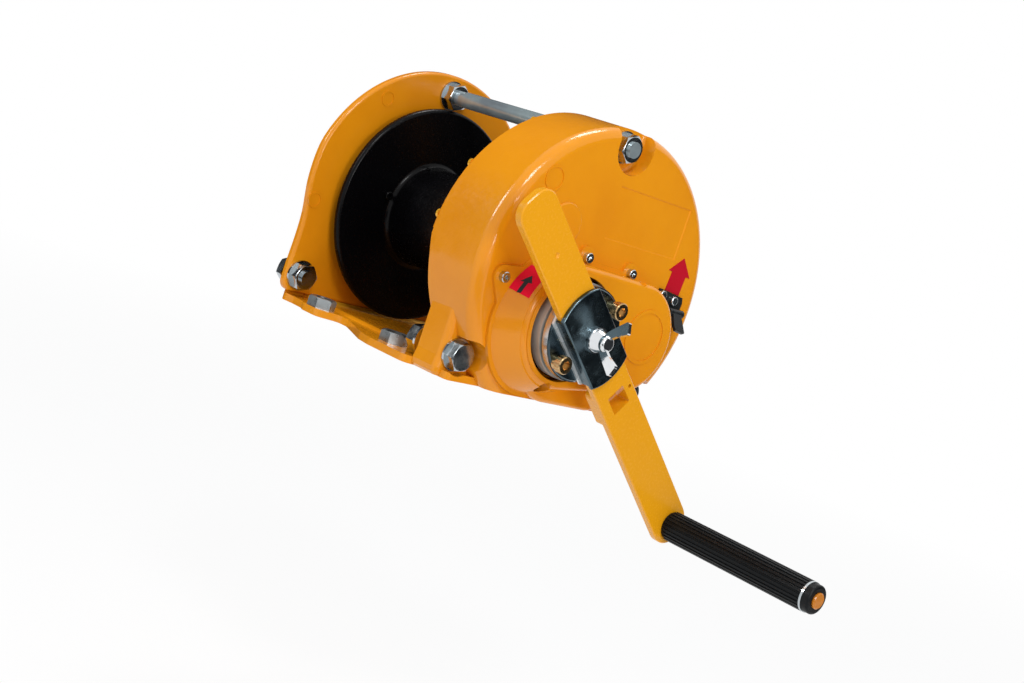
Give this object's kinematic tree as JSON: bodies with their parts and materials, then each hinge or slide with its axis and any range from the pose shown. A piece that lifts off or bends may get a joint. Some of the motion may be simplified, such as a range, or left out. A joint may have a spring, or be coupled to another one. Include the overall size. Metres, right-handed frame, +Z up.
{
  "type": "hand winch",
  "caption": "Hand winch: grooveless rope drum between a side plate and a round gear case, load brake, adjustable crank arm with turning grip.",
  "frame": {"origin": "centre of the four mounting holes on the underside of the base plate", "axes": "+X along the drum axis towards the crank and grip, +Y towards the rear, +Z up"},
  "size_m": [0.4188, 0.2734, 0.2917],
  "materials": {
    "orange_paint": "gloss",
    "arm_paint": "gloss",
    "drum_paint": "gloss",
    "zinc": "bright zinc",
    "dark_steel": "oiled",
    "yellow_zinc": "yellow zinc",
    "chrome": "polished",
    "bronze": "machined",
    "friction": "matt",
    "grip_plastic": "satin",
    "red_label": "gloss",
    "black_paint": "satin"
  },
  "bodies": {
    "frame": {"base_plate": "orange_paint", "base_nuts": "zinc", "left_side_plate": "orange_paint", "gear_case": "orange_paint", "back_plate": "orange_paint", "back_plate_screws": "zinc", "bearing_plate": "dark_steel", "bearing_plate_screws": "zinc", "gear_cover": "orange_paint", "cover_screws": "zinc", "drum_axle": "dark_steel", "axle_keeper": "orange_paint", "axle_keeper_screws": "zinc", "axle_spacers": "dark_steel", "intermediate_bushes": "bronze", "crank_bushes": "bronze", "pawl_pins": "dark_steel", "pawl_springs": "zinc", "lever_bracket": "black_paint", "lever_pin": "zinc", "lever_screws": "zinc", "arrow_label": "red_label", "fan_label": "red_label", "foot_bolts": "zinc", "frame_washers": "zinc", "foot_nuts": "zinc", "tie_rod": "zinc", "tie_rod_nuts": "zinc"},
    "drum": {"drum_barrel": "drum_paint", "drum_flanges": "drum_paint", "drum_bushes": "bronze", "rope_clamp_screw": "zinc", "ring_gear": "dark_steel", "ring_gear_screws": "zinc"},
    "intermediate": {"intermediate_shaft": "dark_steel", "intermediate_gear": "dark_steel"},
    "crank": {"crank_shaft": "dark_steel", "crank_gear": "dark_steel", "brake_flange": "dark_steel", "friction_discs": "friction", "ratchet_bush": "bronze", "pressure_plate": "yellow_zinc", "brake_spacer": "dark_steel", "hub_ring": "zinc", "hub_plate": "dark_steel", "screw_collars": "yellow_zinc", "brake_screws": "yellow_zinc", "holder_base": "chrome", "holder_base_screws": "zinc", "arm_holder": "chrome"},
    "ratchet": {"ratchet_wheel": "dark_steel"},
    "arm": {"crank_arm": "arm_paint", "grip_spindle": "orange_paint"},
    "hand_grip": {"grip": "grip_plastic", "grip_ring": "zinc", "grip_cap": "grip_plastic"},
    "wing": {"wing_bolt": "chrome"},
    "pawl_upper": {"upper_pawl": "dark_steel"},
    "pawl_lower": {"lower_pawl": "dark_steel"},
    "lever": {"lever_flap": "black_paint"}
  },
  "joints": [
    {"name": "drum_spin", "type": "hinge", "parent": "frame", "child": "drum", "pos_m": [0, 0, 0.094], "axis": [1, 0, 0], "continuous": true},
    {"name": "intermediate_spin", "type": "hinge", "parent": "frame", "child": "intermediate", "pos_m": [0.11, 0.0502, 0.06597], "axis": [1, 0, 0], "continuous": true},
    {"name": "crank_spin", "type": "hinge", "parent": "frame", "child": "crank", "pos_m": [0.131, -0.0282, 0.0586], "axis": [1, 0, 0], "continuous": true},
    {"name": "ratchet_turn", "type": "hinge", "parent": "frame", "child": "ratchet", "pos_m": [0.142, -0.0282, 0.0586], "axis": [1, 0, 0], "range_deg": [0, 3]},
    {"name": "arm_slide", "type": "slide", "parent": "crank", "child": "arm", "axis": [0, 0.7741, -0.6331], "range_m": [0, 0.08]},
    {"name": "grip_spin", "type": "hinge", "parent": "arm", "child": "hand_grip", "pos_m": [0.241, 0.12661, -0.06802], "axis": [1, 0, 0], "continuous": true},
    {"name": "wing_bolt_turn", "type": "hinge", "parent": "crank", "child": "wing", "pos_m": [0.181, -0.0282, 0.0586], "axis": [1, 0, 0], "range_deg": [-180, 180]},
    {"name": "upper_pawl_lift", "type": "hinge", "parent": "frame", "child": "pawl_upper", "pos_m": [0.142, 0.01878, 0.0757], "axis": [1, 0, 0], "range_deg": [-10, 0], "stiffness_Nm_per_rad": 0.05, "springref_deg": 17.19},
    {"name": "lower_pawl_lift", "type": "hinge", "parent": "frame", "child": "pawl_lower", "pos_m": [0.142, 0.00884, 0.02966], "axis": [1, 0, 0], "range_deg": [-10, 0], "stiffness_Nm_per_rad": 0.05, "springref_deg": 17.19},
    {"name": "lever_tilt", "type": "hinge", "parent": "frame", "child": "lever", "pos_m": [0.1369, 0.09125, 0.088], "axis": [0, 1, 0], "range_deg": [-30, 20]}
  ],
  "couplings": [
    {"joint": "intermediate_spin", "follows": "drum_spin", "ratio": 4.8333},
    {"joint": "crank_spin", "follows": "drum_spin", "ratio": -5.6667}
  ]
}
